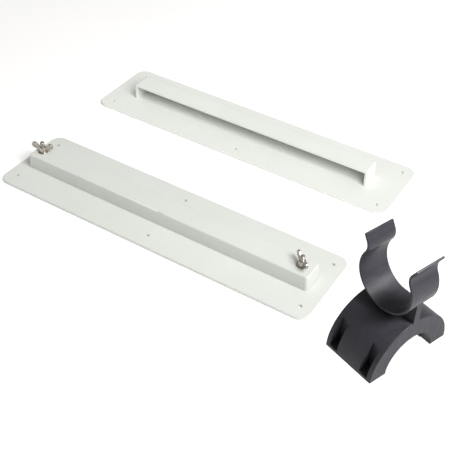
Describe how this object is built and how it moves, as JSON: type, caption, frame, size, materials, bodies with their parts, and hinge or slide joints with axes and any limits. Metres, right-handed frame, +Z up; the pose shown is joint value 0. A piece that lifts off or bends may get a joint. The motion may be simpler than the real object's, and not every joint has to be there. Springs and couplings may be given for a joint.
{
  "type": "rod holder set",
  "caption": "Long flanged white trays, a raised box with wing nuts on the first and an open hood on the other, and a dark half-round saddle carrying an open C clip.",
  "frame": {"origin": "centre of the clamp tray's underside, on the surface the set lies on", "axes": "+X along the trays, +Y from the clamp tray towards the hooded tray, +Z up"},
  "size_m": [0.5261, 0.3163, 0.1232],
  "materials": {
    "white_plastic": "satin moulded",
    "stainless": "polished stainless",
    "charcoal_plastic": "fine matt moulded"
  },
  "bodies": {
    "clamp_tray": {"clamp_tray": "white_plastic", "left_clamp_bolt": "stainless", "right_clamp_bolt": "stainless"},
    "left_washer": {"left_washer": "stainless"},
    "left_wing_nut": {"left_wing_nut": "stainless"},
    "right_washer": {"right_washer": "stainless"},
    "right_wing_nut": {"right_wing_nut": "stainless"},
    "hooded_tray": {"hooded_tray": "white_plastic"},
    "saddle_clip": {"saddle": "charcoal_plastic", "clip_cradle": "charcoal_plastic"},
    "clip_rear_arm": {"clip_rear_arm": "charcoal_plastic"},
    "clip_front_arm": {"clip_front_arm": "charcoal_plastic"}
  },
  "joints": [
    {"name": "left_washer_lift", "type": "slide", "parent": "clamp_tray", "child": "left_washer", "axis": [0, 0, 1], "range_m": [0, 0.0048]},
    {"name": "left_wing_nut_turn", "type": "hinge", "parent": "left_washer", "child": "left_wing_nut", "pos_m": [-0.176, 0, 0.021], "axis": [0, 0, 1], "range_deg": [0, 2160.1]},
    {"name": "right_washer_lift", "type": "slide", "parent": "clamp_tray", "child": "right_washer", "axis": [0, 0, 1], "range_m": [0, 0.0048]},
    {"name": "right_wing_nut_turn", "type": "hinge", "parent": "right_washer", "child": "right_wing_nut", "pos_m": [0.168, 0, 0.021], "axis": [0, 0, 1], "range_deg": [0, 2160.1]},
    {"name": "hooded_tray_lift_off", "type": "slide", "parent": "clamp_tray", "child": "hooded_tray", "axis": [0, 0, 1], "range_m": [0, 0.1]},
    {"name": "saddle_clip_lift_off", "type": "slide", "parent": "clamp_tray", "child": "saddle_clip", "axis": [0, 0, 1], "range_m": [0, 0.1]},
    {"name": "rear_arm_flex", "type": "hinge", "parent": "saddle_clip", "child": "clip_rear_arm", "pos_m": [0.2482, -0.01624, 0.07387], "axis": [-0.342, -0.9397, 0], "range_deg": [0, 8], "stiffness_Nm_per_rad": 3},
    {"name": "front_arm_flex", "type": "hinge", "parent": "saddle_clip", "child": "clip_front_arm", "pos_m": [0.3018, -0.03576, 0.07387], "axis": [0.342, 0.9397, 0], "range_deg": [0, 8], "stiffness_Nm_per_rad": 3}
  ],
  "couplings": [
    {"joint": "left_wing_nut_turn", "follows": "left_washer_lift", "rad_per_m": 7854},
    {"joint": "right_wing_nut_turn", "follows": "right_washer_lift", "rad_per_m": 7854}
  ]
}
